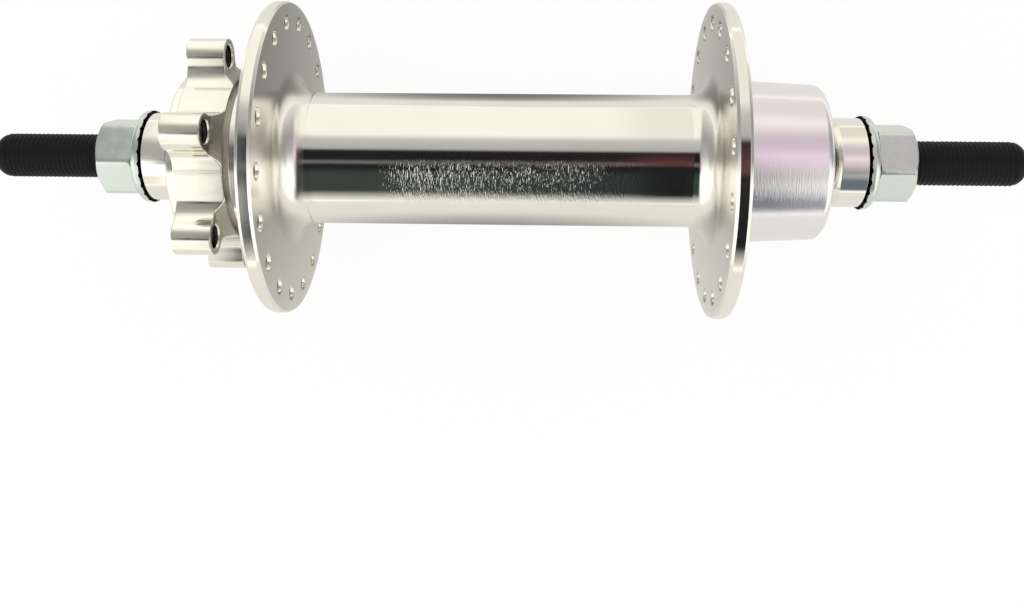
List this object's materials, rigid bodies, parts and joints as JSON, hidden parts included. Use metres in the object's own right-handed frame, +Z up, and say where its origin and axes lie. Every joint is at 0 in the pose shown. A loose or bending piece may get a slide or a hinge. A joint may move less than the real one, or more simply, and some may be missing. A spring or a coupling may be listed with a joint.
{
  "type": "disc brake front wheel hub",
  "caption": "Polished wheel hub with drilled spoke flanges, a lobed brake disc mount, sealed bearings and a solid threaded axle with nuts and toothed washers.",
  "frame": {"origin": "on the axle's centre line, midway between the two spacer faces that meet the fork", "axes": "+Y along the axle towards the brake disc side (left side of the bicycle), +X forward, +Z up"},
  "size_m": [0.0664, 0.219, 0.0664],
  "materials": {
    "polished_alloy": "polished",
    "plain_alloy": "turned",
    "black_axle": "black oxide",
    "bearing_steel": "ground",
    "cage_nylon": "moulded",
    "seal_rubber": "moulded",
    "zinc_plate": "zinc plated"
  },
  "bodies": {
    "axle_group": {"axle": "black_axle", "centre_sleeve": "plain_alloy", "left_spacer": "polished_alloy", "right_spacer": "polished_alloy", "left_inner_race": "bearing_steel", "right_inner_race": "bearing_steel"},
    "shell_group": {"hub_shell": "polished_alloy", "left_outer_race": "bearing_steel", "right_outer_race": "bearing_steel", "left_inner_seal": "seal_rubber", "left_outer_seal": "seal_rubber", "right_inner_seal": "seal_rubber", "right_outer_seal": "seal_rubber"},
    "left_ball_set": {"left_balls": "bearing_steel", "left_cage": "cage_nylon"},
    "right_ball_set": {"right_balls": "bearing_steel", "right_cage": "cage_nylon"},
    "left_washer_group": {"left_washer": "zinc_plate"},
    "left_nut_group": {"left_nut": "zinc_plate"},
    "right_washer_group": {"right_washer": "zinc_plate"},
    "right_nut_group": {"right_nut": "zinc_plate"}
  },
  "joints": [
    {"name": "shell_spin", "type": "hinge", "parent": "axle_group", "child": "shell_group", "pos_m": [0, 0, 0], "axis": [0, 1, 0], "continuous": true},
    {"name": "left_ball_orbit", "type": "hinge", "parent": "axle_group", "child": "left_ball_set", "pos_m": [0, 0.0607, 0], "axis": [0, 1, 0], "continuous": true},
    {"name": "left_washer_slide", "type": "slide", "parent": "axle_group", "child": "left_washer_group", "axis": [0, 1, 0], "range_m": [0, 0.0196]},
    {"name": "left_nut_turn", "type": "hinge", "parent": "left_washer_group", "child": "left_nut_group", "pos_m": [0, 0.0812, 0], "axis": [0, 1, 0], "range_deg": [0, 7200]},
    {"name": "right_ball_orbit", "type": "hinge", "parent": "axle_group", "child": "right_ball_set", "pos_m": [0, -0.0607, 0], "axis": [0, 1, 0], "continuous": true},
    {"name": "right_washer_slide", "type": "slide", "parent": "axle_group", "child": "right_washer_group", "axis": [0, -1, 0], "range_m": [0, 0.0196]},
    {"name": "right_nut_turn", "type": "hinge", "parent": "right_washer_group", "child": "right_nut_group", "pos_m": [0, -0.0812, 0], "axis": [0, -1, 0], "range_deg": [0, 7200]}
  ],
  "couplings": [
    {"joint": "left_ball_orbit", "follows": "shell_spin", "ratio": 0.5814},
    {"joint": "left_washer_slide", "follows": "left_nut_turn", "m_per_rad": 0.0001555},
    {"joint": "right_ball_orbit", "follows": "shell_spin", "ratio": 0.5814},
    {"joint": "right_washer_slide", "follows": "right_nut_turn", "m_per_rad": 0.0001555}
  ]
}
